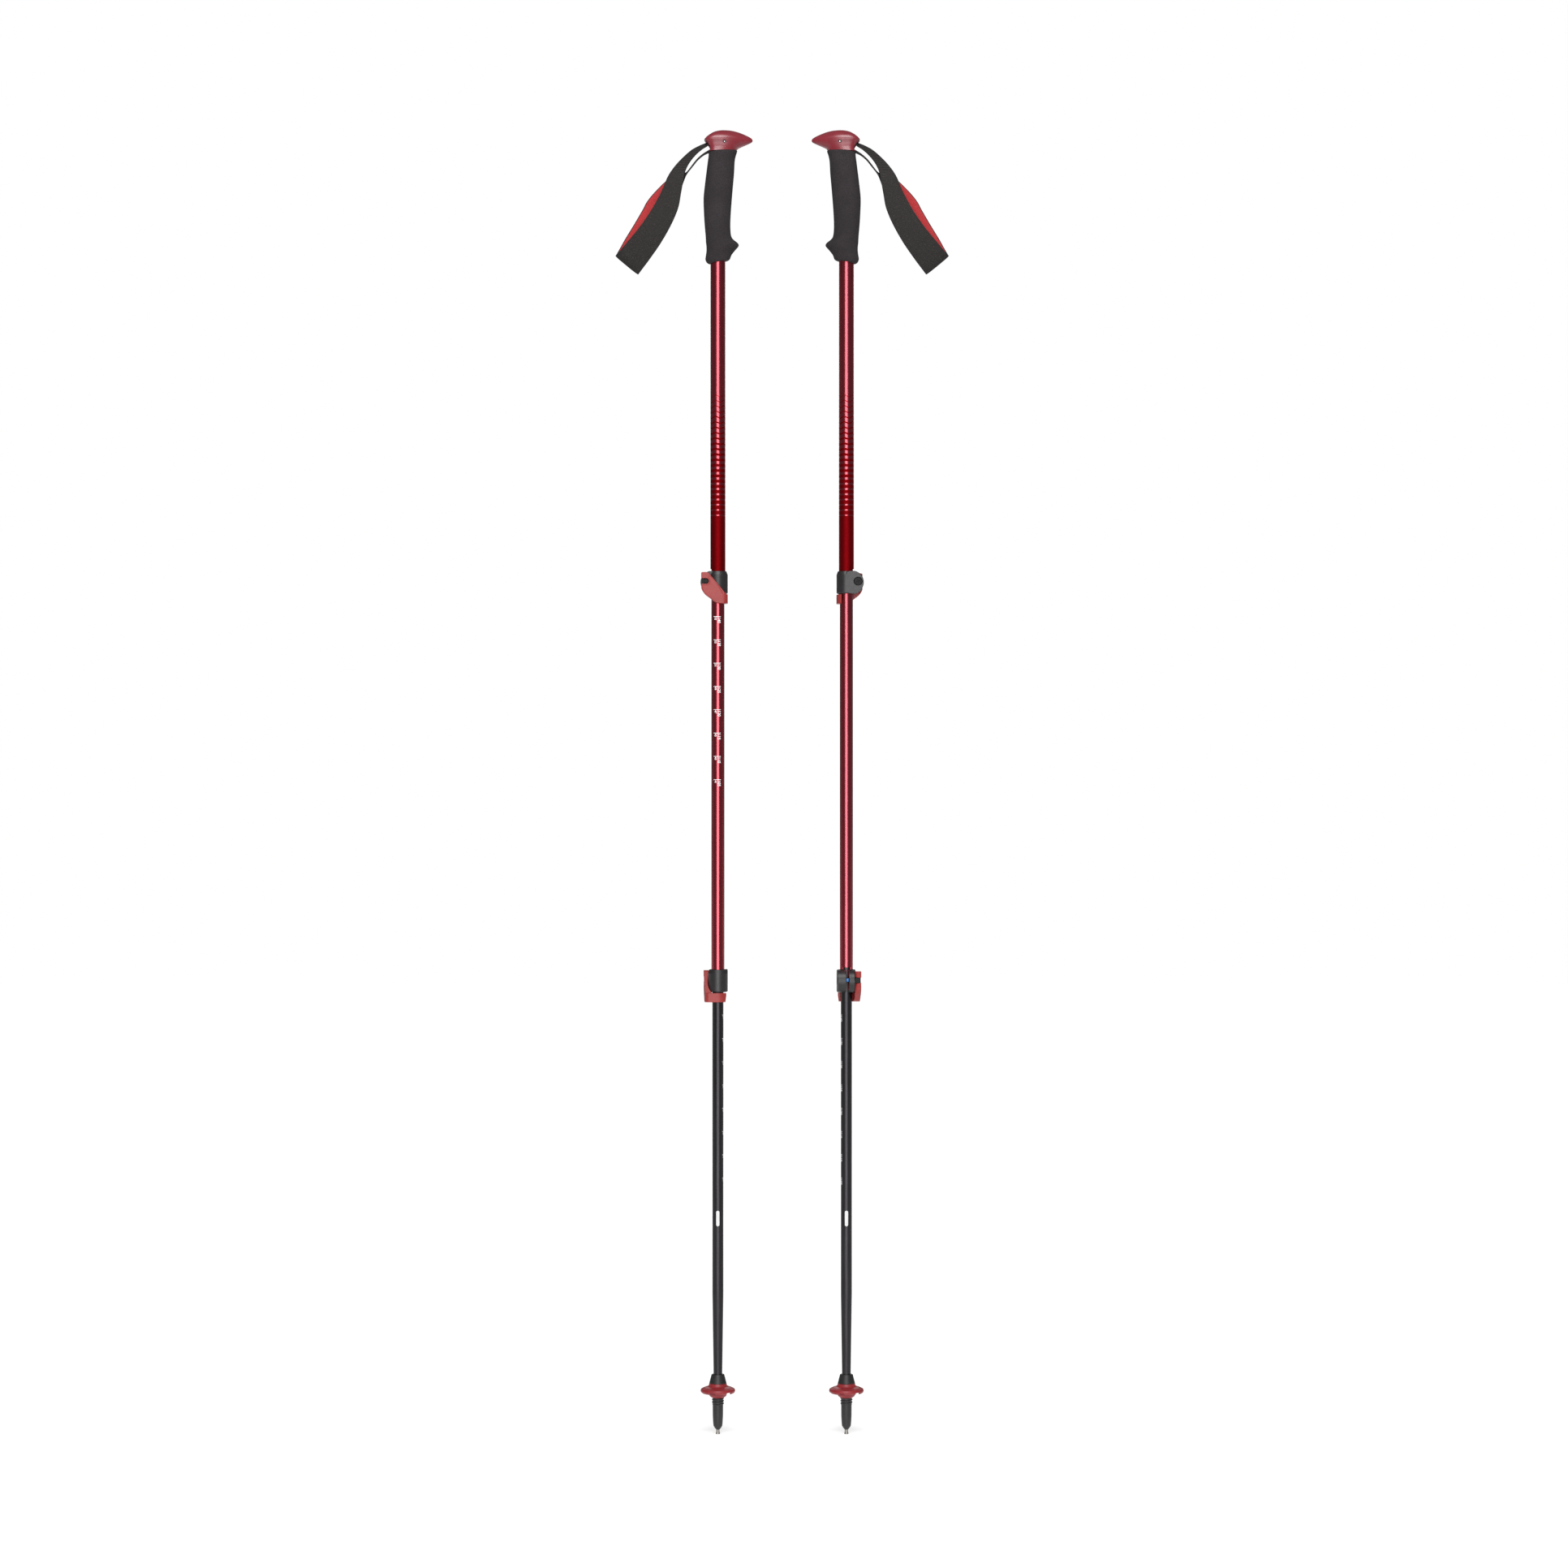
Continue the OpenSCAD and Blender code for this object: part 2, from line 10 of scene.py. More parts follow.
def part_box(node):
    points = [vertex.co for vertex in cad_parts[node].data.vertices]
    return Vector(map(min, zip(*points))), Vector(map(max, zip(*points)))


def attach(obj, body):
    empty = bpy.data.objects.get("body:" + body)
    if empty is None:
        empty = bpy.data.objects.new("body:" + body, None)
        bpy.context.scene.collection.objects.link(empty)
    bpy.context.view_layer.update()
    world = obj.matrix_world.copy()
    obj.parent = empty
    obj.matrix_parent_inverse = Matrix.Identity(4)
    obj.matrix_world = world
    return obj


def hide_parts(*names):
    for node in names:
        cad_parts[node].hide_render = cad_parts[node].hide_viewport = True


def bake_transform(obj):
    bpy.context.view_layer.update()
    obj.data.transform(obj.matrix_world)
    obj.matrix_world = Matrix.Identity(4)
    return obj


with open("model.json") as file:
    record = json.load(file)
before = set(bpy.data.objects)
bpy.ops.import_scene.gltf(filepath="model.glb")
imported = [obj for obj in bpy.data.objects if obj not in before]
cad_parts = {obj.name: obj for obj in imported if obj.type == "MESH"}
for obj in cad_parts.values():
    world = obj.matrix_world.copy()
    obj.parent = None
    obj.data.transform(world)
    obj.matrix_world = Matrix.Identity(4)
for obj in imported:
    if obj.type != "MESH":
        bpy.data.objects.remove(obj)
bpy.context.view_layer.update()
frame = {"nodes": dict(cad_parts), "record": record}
scene = bpy.context.scene

MM = 0.001
SIDES = ("left", "right")


# ---------------------------------------------------------------- frame of each pole

def centre(node):
    low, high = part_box(node)
    return (Vector(low) + Vector(high)) / 2


def pole_matrix(side, handed=False):
    """From a pole's own frame in millimetres (beak +X, strap -X) to the pair's frame in metres.
    A handed piece is mirrored on the right pole, as the straps are."""
    axis = centre(f"{side}_upper_shaft")
    turn = 0 if side == "left" else math.pi
    mirror = Matrix.Scale(-1, 4, (0, 1, 0)) if handed and side == "right" else Matrix()
    return (Matrix.Translation((axis.x, axis.y, 0)) @ Matrix.Rotation(turn, 4, "Z")
            @ Matrix.Scale(MM, 4) @ mirror)


# ---------------------------------------------------------------- camera, floor and light

CAMERA_DISTANCE = 4.0
FRAME_WIDTH = 1.684       # width that the picture covers at the poles
CAMERA_HEIGHT = 0.698
CAMERA_SHIFT_X = 0.002    # the picture's centre is just right of the pair's middle
FLOOR_FRONT = -1.0        # the floor stops below the picture, so that the shafts mirror the strip
FLOOR_BACK = 9.0
FLOOR_WIDTH = 14
ROOM_GLOW = 0.16          # light of the room as the object sees it
WHITE = (1, 1, 1, 1)

# Name, place, target, width and height, watts
LIGHTS = (
    ("front_strip", (0.0, -3.9, 0.8), (0, 0, 0.75), (2.1, 3.4), 118),
    ("top_box", (0.0, -1.9, 3.2), (0, 0, 1.0), (1.4, 1.4), 75),
    ("back_box", (0.0, 2.8, 1.8), (0, 0, 0.8), (1.6, 1.6), 14))


def make_camera():
    data = bpy.data.cameras.new("camera")
    data.lens = data.sensor_width * CAMERA_DISTANCE / FRAME_WIDTH
    camera = bpy.data.objects.new("camera", data)
    camera.location = (CAMERA_SHIFT_X, -CAMERA_DISTANCE, CAMERA_HEIGHT)
    camera.rotation_euler = (math.pi / 2, 0, 0)
    scene.collection.objects.link(camera)
    scene.camera = camera


def area_light(name, place, target, size, energy):
    data = bpy.data.lights.new(name, "AREA")
    data.shape = "RECTANGLE"
    data.size, data.size_y = size
    data.energy = energy
    light = bpy.data.objects.new(name, data)
    light.location = place
    light.rotation_euler = (Vector(target) - Vector(place)).to_track_quat("-Z", "Y").to_euler()
    scene.collection.objects.link(light)


def make_room():
    """A world that is white to the camera and dim to the object."""
    world = bpy.data.worlds.new("studio")
    scene.world = world
    world.use_nodes = True
    nodes, links = world.node_tree.nodes, world.node_tree.links
    nodes.clear()
    path = nodes.new("ShaderNodeLightPath")
    seen = nodes.new("ShaderNodeBackground")
    seen.inputs["Color"].default_value = WHITE
    room = nodes.new("ShaderNodeBackground")
    room.inputs["Color"].default_value = WHITE
    room.inputs["Strength"].default_value = ROOM_GLOW
    mix = nodes.new("ShaderNodeMixShader")
    out = nodes.new("ShaderNodeOutputWorld")
    links.new(path.outputs["Is Camera Ray"], mix.inputs["Fac"])
    links.new(room.outputs[0], mix.inputs[1])
    links.new(seen.outputs[0], mix.inputs[2])
    links.new(mix.outputs[0], out.inputs["Surface"])


def make_stage():
    scene.view_settings.view_transform = "Standard"
    make_room()
    for light in LIGHTS:
        area_light(*light)
    bpy.ops.mesh.primitive_grid_add(size=1, location=(0, (FLOOR_FRONT + FLOOR_BACK) / 2, 0))
    floor = bpy.context.object
    floor.scale = (FLOOR_WIDTH, FLOOR_BACK - FLOOR_FRONT, 1)
    floor.name = "floor"
    floor.data.materials.append(floor_material())


# ---------------------------------------------------------------- materials

DRAWN = (1, 1, 0.02)      # stretch of a drawn tube's grain along the pole
DRAWN_SCALE = 1400


class Shader:
    """A Principled material with short helpers for its procedural detail."""

    def __init__(self, name, roughness, metallic=0.0, **constants):
        self.material = bpy.data.materials.new(name)
        self.material.use_nodes = True
        self.nodes = self.material.node_tree.nodes
        self.links = self.material.node_tree.links
        self.main = self.nodes["Principled BSDF"]
        self.main.inputs["Roughness"].default_value = roughness
        self.main.inputs["Metallic"].default_value = metallic
        for key, value in constants.items():
            self.main.inputs[key.replace("_", " ")].default_value = value
        self.coords = self.nodes.new("ShaderNodeTexCoord")
        self.place = self.coords.outputs["Object"]

    def maths(self, operation, a, b=0.0, c=0.0):
        node = self.nodes.new("ShaderNodeMath")
        node.operation = operation
        for socket, value in zip(node.inputs, (a, b, c)):
            if isinstance(value, (int, float)):
                socket.default_value = value
            else:
                self.links.new(value, socket)
        return node.outputs[0]

    def noise(self, scale, detail=3.0, roughness=0.55, coords=None):
        node = self.nodes.new("ShaderNodeTexNoise")
        node.inputs["Scale"].default_value = scale
        node.inputs["Detail"].default_value = detail
        node.inputs["Roughness"].default_value = roughness
        self.links.new(coords or self.place, node.inputs["Vector"])
        return node.outputs["Fac"]

    def drawn_grain(self, along=DRAWN, scale=DRAWN_SCALE):
        """Noise that is stretched along the pole."""
        stretch = self.nodes.new("ShaderNodeMapping")
        stretch.inputs["Scale"].default_value = along
        self.links.new(self.place, stretch.inputs["Vector"])
        return self.noise(scale, 3, coords=stretch.outputs["Vector"])

    def split(self, vector):
        """The X, Y and Z numbers of a vector."""
        node = self.nodes.new("ShaderNodeSeparateXYZ")
        self.links.new(vector, node.inputs[0])
        return node.outputs

    def ramp(self, factor, low, high, low_at=0.0, high_at=1.0):
        """Colour that goes from low to high as factor goes from low_at to high_at."""
        node = self.nodes.new("ShaderNodeValToRGB")
        first, last = node.color_ramp.elements
        first.position, last.position = low_at, high_at
        first.color, last.color = (*low, 1), (*high, 1)
        self.links.new(factor, node.inputs["Fac"])
        return node.outputs["Color"]

    def between(self, factor, low, high, low_at=0.0, high_at=1.0):
        """Number that goes from low to high as factor goes from low_at to high_at."""
        node = self.nodes.new("ShaderNodeMapRange")
        node.inputs["From Min"].default_value = low_at
        node.inputs["From Max"].default_value = high_at
        node.inputs["To Min"].default_value = low
        node.inputs["To Max"].default_value = high
        self.links.new(factor, node.inputs["Value"])
        return node.outputs["Result"]

    def mix(self, factor, a, b):
        node = self.nodes.new("ShaderNodeMix")
        node.data_type = "RGBA"
        self.links.new(factor, node.inputs["Factor"])
        for socket, value in zip((node.inputs["A"], node.inputs["B"]), (a, b)):
            if isinstance(value, tuple):
                socket.default_value = (*value, 1)
            else:
                self.links.new(value, socket)
        return node.outputs["Result"]

    def colour(self, socket):
        self.links.new(socket, self.main.inputs["Base Color"])

    def rough(self, socket):
        self.links.new(socket, self.main.inputs["Roughness"])

    def bump(self, factor, distance, strength=1.0):
        node = self.nodes.new("ShaderNodeBump")
        node.inputs["Distance"].default_value = distance
        node.inputs["Strength"].default_value = strength
        self.links.new(factor, node.inputs["Height"])
        previous = self.main.inputs["Normal"].links
        if previous:
            self.links.new(previous[0].from_socket, node.inputs["Normal"])
        self.links.new(node.outputs["Normal"], self.main.inputs["Normal"])


FLOOR_GLOW = (0.72, 1.0)  # emission near the poles and far behind them
GLOW_AT = (0.11, 0.3)     # shares of the floor's depth between which it changes


def floor_material():
    """White floor with a soft grey shadow; it glows more where it runs back out of the light."""
    s = Shader("floor_white", 0.9)
    s.colour(s.ramp(s.noise(3), (0.42, 0.42, 0.42), (0.46, 0.46, 0.46)))
    s.main.inputs["Emission Color"].default_value = WHITE
    glow = s.between(s.split(s.coords.outputs["Generated"])["Y"], *FLOOR_GLOW, *GLOW_AT)
    s.links.new(glow, s.main.inputs["Emission Strength"])
    return s.material


MOULD_GRAIN = 0.00002     # relief of moulded plastic, in metres
MOULD_SCALE = 2600


def moulded(name, dark, light, roughness, **constants):
    """Satin moulded plastic with a fine grain and slight mottling."""
    s = Shader(name, roughness, **constants)
    cloud = s.noise(90, 4)
    s.colour(s.ramp(cloud, dark, light, 0.3, 0.7))
    s.rough(s.between(s.noise(400, 2), roughness - 0.05, roughness + 0.07))
    s.bump(s.noise(MOULD_SCALE, 2), MOULD_GRAIN)
    return s.material


ANODISED_DARK, ANODISED_LIGHT = (0.38, 0.033, 0.05), (0.46, 0.042, 0.062)
ANODISED_ROUGH = 0.24
GLOSS_COAT = {"Coat_Weight": 0.65, "Coat_Roughness": 0.22}


def metal(name, dark, light, roughness, along=DRAWN, scale=DRAWN_SCALE, **coat):
    """Metal with a faint grain, drawn along the pole unless along says otherwise."""
    s = Shader(name, roughness, 1.0, **coat)
    grain = s.drawn_grain(along, scale)
    s.colour(s.ramp(grain, dark, light, 0.3, 0.7))
    s.rough(s.between(grain, roughness - 0.03, roughness + 0.05))
    s.bump(grain, 0.000004)
    return s.material


ROW_PITCH = 0.00554       # rows of the fade printed on the upper shaft
FADE_ROWS = 24
FADE_TOP = 1.1185
ZIGZAGS = 5
ZIGZAG_DEPTH = 0.55       # of the first row, in rows
ZIGZAG_SHARE = 0.68       # share of the rows over which the zigzag flattens
PRINT_SHARE = (0.1, 0.8)  # how much of a row is print, at the first row and at the last
PRINT_ROUGH = 0.62


def fade_shaft(side):
    """Gloss red anodising that fades, row by row, into a matte print towards the upper lock."""
    s = Shader(f"{side}_upper_anodised", ANODISED_ROUGH, 1.0, **GLOSS_COAT)
    axis = centre(f"{side}_upper_shaft")
    place = s.split(s.place)
    x = s.maths("SUBTRACT", place["X"], axis.x)
    y = s.maths("SUBTRACT", place["Y"], axis.y)
    angle = s.maths("DIVIDE", s.maths("ARCTAN2", y, x), 2 * math.pi)
    rows = s.maths("DIVIDE", s.maths("SUBTRACT", FADE_TOP, place["Z"]), ROW_PITCH)
    # A zigzag that flattens over the first two thirds of the rows
    wave = s.maths("PINGPONG", s.maths("MULTIPLY", angle, ZIGZAGS * 2), 1.0)
    depth = s.between(rows, ZIGZAG_DEPTH, 0.0, 0, FADE_ROWS * ZIGZAG_SHARE)
    step = s.maths("FRACT", s.maths("ADD", rows, s.maths("MULTIPLY", wave, depth)))
    share = s.between(rows, *PRINT_SHARE, 0, FADE_ROWS)
    band = s.maths("MAXIMUM", s.maths("LESS_THAN", step, share),
                   s.maths("GREATER_THAN", rows, FADE_ROWS))
    started = s.maths("GREATER_THAN", rows, 0.0)
    matte = s.maths("MULTIPLY", band, started)
    gloss = s.ramp(s.drawn_grain(), ANODISED_DARK, ANODISED_LIGHT, 0.3, 0.7)
    print_red = s.ramp(s.noise(700, 2), (0.15, 0.0016, 0.003), (0.18, 0.0026, 0.0045), 0.3, 0.7)
    s.colour(s.mix(matte, gloss, print_red))
    s.rough(s.between(matte, ANODISED_ROUGH, PRINT_ROUGH))
    s.links.new(s.between(matte, GLOSS_COAT["Coat_Weight"], 0.0), s.main.inputs["Coat Weight"])
    return s.material


def foam():
    """Closed-cell foam: matte, with fine cells and faint pale scuffs."""
    s = Shader("foam_black", 0.95, Specular_IOR_Level=0.3)
    cells = s.nodes.new("ShaderNodeTexVoronoi")
    cells.inputs["Scale"].default_value = 1500
    s.links.new(s.place, cells.inputs["Vector"])
    cloud = s.noise(45, 5)
    fine = s.noise(900, 4, 0.7)
    base = s.ramp(cloud, (0.022, 0.0185, 0.0205), (0.034, 0.0285, 0.0315), 0.3, 0.75)
    grain = s.mix(s.between(fine, 0, 1, 0.3, 0.6), (0.014, 0.012, 0.013), base)
    s.colour(s.mix(s.between(fine, 0, 0.4, 0.64, 0.78), grain, (0.06, 0.053, 0.056)))
    s.bump(cells.outputs["Distance"], 0.00012, 0.8)
    s.bump(fine, 0.00016, 0.8)
    return s.material


RIB_PITCH, RIB_SLANT = 0.0021, 0.25       # ribs across the plain webbing
WEAVE_PITCH, WEAVE_SLANT = 0.0011, 0.7    # twill of the padded part


def strip_coords(s, layer):
    """The numbers of a UV layer, U as X and V as Y."""
    uv = s.nodes.new("ShaderNodeUVMap")
    uv.uv_map = layer
    return s.split(uv.outputs["UV"])


def webbing(name, dark, light, thread):
    """Strap webbing: cross ribs on the plain webbing, a fine diagonal twill on the padded part.
    Its colour is painted shade of that relief, darker in the grooves and lighter on the ridges,
    with random fuzz and pale threads.
    """
    s = Shader(name, 0.9, Specular_IOR_Level=0.3)
    cloth = strip_coords(s, "cloth")
    run, across = cloth["X"], cloth["Y"]
    padded = strip_coords(s, "make")["X"]

    def ridges(place, pitch):
        return s.maths("PINGPONG", s.maths("MULTIPLY", place, 2 / pitch), 1.0)

    def slanted(share):
        return s.maths("ADD", run, s.maths("MULTIPLY", across, share))

    rib = ridges(slanted(RIB_SLANT), RIB_PITCH)
    twill = s.maths("MULTIPLY", s.maths("POWER", ridges(slanted(WEAVE_SLANT), WEAVE_PITCH), 0.7),
                    s.between(ridges(across, WEAVE_PITCH), 0.55, 1.0))
    relief = s.maths("ADD", s.maths("MULTIPLY", twill, padded),
                     s.maths("MULTIPLY", rib, s.maths("SUBTRACT", 1.0, padded)))
    fuzz = s.noise(1300, 3)
    # Painted shade: the colour follows the relief, dark in its grooves and light on its ridges,
    # varied by the fuzz
    painted_relief_shade = s.maths("MULTIPLY", relief, s.between(fuzz, 0.5, 1.3, 0.3, 0.7))
    base = s.ramp(painted_relief_shade, dark, light, 0.1, 0.9)
    s.colour(s.mix(s.between(fuzz, 0, 0.7, 0.63, 0.75), base, thread))
    s.bump(relief, 0.00025, 0.9)
    s.bump(fuzz, 0.0001, 0.6)
    return s.material


def lining(name, dark, light):
    """Brushed lining with a soft, slightly mottled nap."""
    s = Shader(name, 0.9, Specular_IOR_Level=0.3)
    nap = s.noise(900, 4, 0.7)
    s.colour(s.ramp(nap, dark, light, 0.3, 0.7))
    s.bump(nap, 0.0002, 0.8)
    s.main.inputs["Sheen Weight"].default_value = 0.2
    return s.material


def printed(name, dark, light, roughness):
    """Ink on a shaft, very slightly uneven."""
    s = Shader(name, roughness)
    s.colour(s.ramp(s.noise(2500, 2), dark, light, 0.3, 0.5))
    return s.material


MATERIALS = {
    "head_red": moulded("head_red", (0.17, 0.017, 0.026), (0.2, 0.021, 0.031), 0.32),
    "lever_red": moulded("lever_red", (0.25, 0.026, 0.025), (0.29, 0.032, 0.03), 0.42,
                         Specular_IOR_Level=0.35),
    "basket_red": moulded("basket_red", (0.22, 0.013, 0.018), (0.27, 0.018, 0.023), 0.42),
    "collar_grey": moulded("collar_grey", (0.011, 0.01, 0.011), (0.016, 0.0145, 0.016), 0.42),
    "tip_black": moulded("tip_black", (0.01, 0.0095, 0.01), (0.016, 0.015, 0.016), 0.45),
    "inner_plastic": moulded("inner_plastic", (0.04, 0.04, 0.045), (0.06, 0.06, 0.065), 0.5),
    "anodised_red": metal("anodised_red", ANODISED_DARK, ANODISED_LIGHT, ANODISED_ROUGH,
                          **GLOSS_COAT),
    "shaft_black": metal("shaft_black", (0.035, 0.033, 0.036), (0.05, 0.048, 0.052), 0.38),
    "screw_dark": moulded("screw_dark", (0.006, 0.006, 0.0065), (0.01, 0.01, 0.0105), 0.4,
                          Specular_IOR_Level=0.12),
    "pin_steel": metal("pin_steel", (0.4, 0.41, 0.4), (0.52, 0.53, 0.52), 0.3),
    "carbide": metal("carbide", (0.25, 0.235, 0.22), (0.42, 0.4, 0.37), 0.4, (1, 1, 1), 2500),
    "thread_lock": printed("thread_lock", (0.004, 0.1, 0.38), (0.01, 0.2, 0.6), 0.5),
    "foam_black": foam(),
    "scale_white": printed("scale_white", (0.75, 0.75, 0.75), (0.9, 0.9, 0.9), 0.45),
    "mark_silver": printed("mark_silver", (0.5, 0.5, 0.5), (0.62, 0.62, 0.62), 0.4),
    # The webbing's dark end is painted shade in the weave's grooves and its light end is painted
    # light on the ridges
    "webbing_black": webbing("webbing_black", (0.006, 0.0053, 0.0055), (0.042, 0.036, 0.035),
                             (0.1, 0.09, 0.088)),
    "lining_red": lining("lining_red", (0.27, 0.014, 0.018), (0.42, 0.035, 0.037)),
}


# ---------------------------------------------------------------- mesh builders

def catmull(rows, steps):
    """Smooth curve through rows of numbers, with that many steps between neighbours."""
    out = []
    for i in range(len(rows) - 1):
        a, b, c, d = (rows[max(i - 1, 0)], rows[i], rows[i + 1], rows[min(i + 2, len(rows) - 1)])
        for k in range(steps):
            t = k / steps
            out.append([
                0.5 * (2 * q + (r - p) * t + (2 * p - 5 * q + 4 * r - s) * t * t
                       + (3 * q - p - 3 * r + s) * t ** 3)
                for p, q, r, s in zip(a, b, c, d)])
    out.append(list(rows[-1]))
    return out


def blend_steps(value, low, high):
    """0 below low, 1 above high and a soft step in between."""
    t = min(max((value - low) / (high - low), 0), 1)
    return t * t * (3 - 2 * t)


SHARP_DEG = 40


def shade(mesh, sharp_deg=SHARP_DEG):
    """Smooth sides, with the edges past that angle left crisp."""
    mesh.shade_smooth()
    mesh.set_sharp_from_angle(angle=math.radians(sharp_deg))


def make_mesh(name, points, faces, matrix, material, sharp_deg=SHARP_DEG):
    mesh = bpy.data.meshes.new(name)
    mesh.from_pydata([matrix @ Vector(p) for p in points], [], faces)
    work = bmesh.new()
    work.from_mesh(mesh)
    bmesh.ops.recalc_face_normals(work, faces=work.faces)
    work.to_mesh(mesh)
    work.free()
    mesh.materials.append(material)
    shade(mesh, sharp_deg)
    obj = bpy.data.objects.new(name, mesh)
    scene.collection.objects.link(obj)
    return obj


def loft_faces(rings, sides, ends="caps", closed=True):
    """Faces between rings of points. Ends are 'caps', 'open', or 'loop' to join last to first.
    Rows of points that aren't closed rings have closed=False."""
    faces = []
    count = sides if closed else sides - 1
    for k in range(rings if ends == "loop" else rings - 1):
        a, b = k * sides, (k + 1) % rings * sides
        faces += [(a + i, a + (i + 1) % sides, b + (i + 1) % sides, b + i)
                  for i in range(count)]
    if ends == "caps":
        faces += [tuple(range(sides)), tuple((rings - 1) * sides + i for i in range(sides))]
    return faces


def loft(name, rings, matrix, material, ends="caps", sharp_deg=SHARP_DEG):
    points = [p for ring in rings for p in ring]
    return make_mesh(name, points, loft_faces(len(rings), len(rings[0]), ends), matrix,
                     material, sharp_deg)


def lathe_ring(radius, z, sides):
    """Points of a ring about the pole axis; radius may be a function of the angle."""
    out = []
    for i in range(sides):
        a = 2 * math.pi * i / sides
        r = radius(a) if callable(radius) else radius
        out.append((r * math.cos(a), r * math.sin(a), z))
    return out


def prism(name, outline, low_y, high_y, matrix, material):
    """A side view, as (x, z) points, run along the pole's Y axis."""
    rings = [[(x, y, z) for x, z in outline] for y in (low_y, high_y)]
    return loft(name, rings, matrix, material)


ROD_SIDES = 32


def cross_rod(name, x, z, radius, low_y, high_y, matrix, material):
    """A round rod that runs along the pole's Y axis."""
    circle = [(x + radius * math.cos(2 * math.pi * i / ROD_SIDES),
               z + radius * math.sin(2 * math.pi * i / ROD_SIDES)) for i in range(ROD_SIDES)]
    return prism(name, circle, low_y, high_y, matrix, material)


def apply_modifiers(obj):
    bpy.context.view_layer.update()
    result = bpy.data.meshes.new_from_object(obj.evaluated_get(
        bpy.context.evaluated_depsgraph_get()))
    obj.modifiers.clear()
    obj.data = result


def cut(obj, cutter):
    """Takes the cutter's shape out of obj and drops the cutter."""
    change = obj.modifiers.new("cut", "BOOLEAN")
    change.operation = "DIFFERENCE"
    change.solver = "EXACT"
    change.object = cutter
    apply_modifiers(obj)
    shade(obj.data)
    bpy.data.objects.remove(cutter)


def settle(obj, body, replaced=None):
    """Hangs the piece on the body it rides on, and hides the CAD node it stands for."""
    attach(obj, body)
    if replaced:
        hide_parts(replaced)


# ---------------------------------------------------------------- head and grip

SEAM_Z = 1376.9           # where the head meets the foam, at the pole axis
SEAM_RISE = 0.062         # rise of the seam towards the beak
PIN_X, PIN_Z, PIN_R = 7.2, 1386.2, 1.5
PIN_CLEARANCE, RECESS_CLEARANCE = 0.06, 0.5
RECESS_Y = 12             # the recess round each end of the pin starts this far out
BORE_Y = 20               # the pin's bore is cut this far out, past where the recesses start
HEAD_WIDEST, GRIP_WIDEST = 0.31, 0.47   # shares of their length at which they are widest
MOUTH_HALF = 8.8          # half width of the strap's slot in the head
OUTSIDE = 30              # further out than any side of the head

# The slot as (x, z) points: along its floor, round in front of the pin and back along its roof
HEAD_SLOT = [
    (-24, 1377.6), (-4, 1377.6), (PIN_X, PIN_Z - 6.5), (PIN_X + 6.5, PIN_Z), (PIN_X, 1395),
    (-1, 1394.6), (-7, 1389.8), (-12, 1388.9), (-24, 1388.9)]

# Height, back, front, half width, rise towards the beak, bluntness of the back, share of beak
HEAD_ROWS = [
    [SEAM_Z, -9.4, 20.3, 14, SEAM_RISE, 4, 0],
    [1379.2, -8.8, 21.8, 13.5, 0.035, 4, 0.1],
    [1382, -9.6, 25.9, 13, 0, 4, 0.35],
    [1384.8, -11.4, 32.4, 13.1, 0, 4, 0.7],
    [1387, -13.2, 36.5, 13.7, 0, 4, 0.95],
    [1389.1, -14.5, 37.3, 14.3, 0, 4, 1],
    [1391.2, -13.3, 36, 14, 0, 3.8, 1],
    [1393.6, -10.9, 32, 12.9, 0, 3.4, 1],
    [1396, -7.6, 26.7, 10.8, 0, 3, 1],
    [1398, -4.1, 21.2, 8.1, 0, 2.6, 0.9],
    [1399.2, -0.4, 16.4, 5.2, 0, 2.2, 0.7],
    [1399.8, 3.4, 12.2, 2.7, 0, 2, 0.5],
    [1400, 7.2, 8.4, 0.4, 0, 2, 0.2]]


PLAN_SIDES = 72


def plan_ring(row, widest):
    """A level outline of the head or the grip: blunt at the back, oval or beaked in front, and
    widest at that share of its length."""
    z, back, front, half, rise, blunt, beak = row
    middle = back + (front - back) * widest
    ring = []
    for i in range(PLAN_SIDES):
        a = 2 * math.pi * i / PLAN_SIDES
        c, s = math.cos(a), math.sin(a)
        if c < 0:
            k = (abs(c) ** blunt + abs(s) ** blunt) ** (-1 / blunt)
            x, y = middle + (middle - back) * c * k, half * s * k
        else:
            taper = max(0, math.cos(math.pi / 2 * c)) ** 0.8
            x = middle + (front - middle) * c
            y = half * ((1 - beak) * s + beak * math.copysign(taper, s))
        ring.append((x, y, z + rise * x))
    return ring


def make_head(side):
    matrix = pole_matrix(side)
    material = MATERIALS["head_red"]
    rings = [plan_ring(row, HEAD_WIDEST) for row in catmull(HEAD_ROWS, 5)]
    head = loft(f"{side}_head", rings, matrix, material)
    cut(head, prism("slot", HEAD_SLOT, -MOUTH_HALF, MOUTH_HALF, matrix, material))
    for clearance, low, high in ((RECESS_CLEARANCE, -OUTSIDE, -RECESS_Y),
                                 (RECESS_CLEARANCE, RECESS_Y, OUTSIDE),
                                 (PIN_CLEARANCE, -BORE_Y, BORE_Y)):
        cut(head, cross_rod("bore", PIN_X, PIN_Z, PIN_R + clearance, low, high, matrix, material))
    settle(head, f"{side}_handle", f"{side}_grip_head")


# Place along the pin and radius, over its domed end
PIN_DOME = [(-12.8, 0.1), (-12.75, 0.55), (-12.55, 1), (-12.2, 1.32), (-11.7, PIN_R)]


def make_pin(side):
    """The pin through the head, domed at both ends."""
    profile = PIN_DOME + [(-y, r) for y, r in reversed(PIN_DOME)]
    rings = [[(PIN_X + c, y, PIN_Z + s) for c, s, _ in lathe_ring(r, 0, 24)] for y, r in profile]
    pin = loft(f"{side}_pin", rings, pole_matrix(side), MATERIALS["pin_steel"])
    settle(pin, f"{side}_handle", f"{side}_strap_pin")


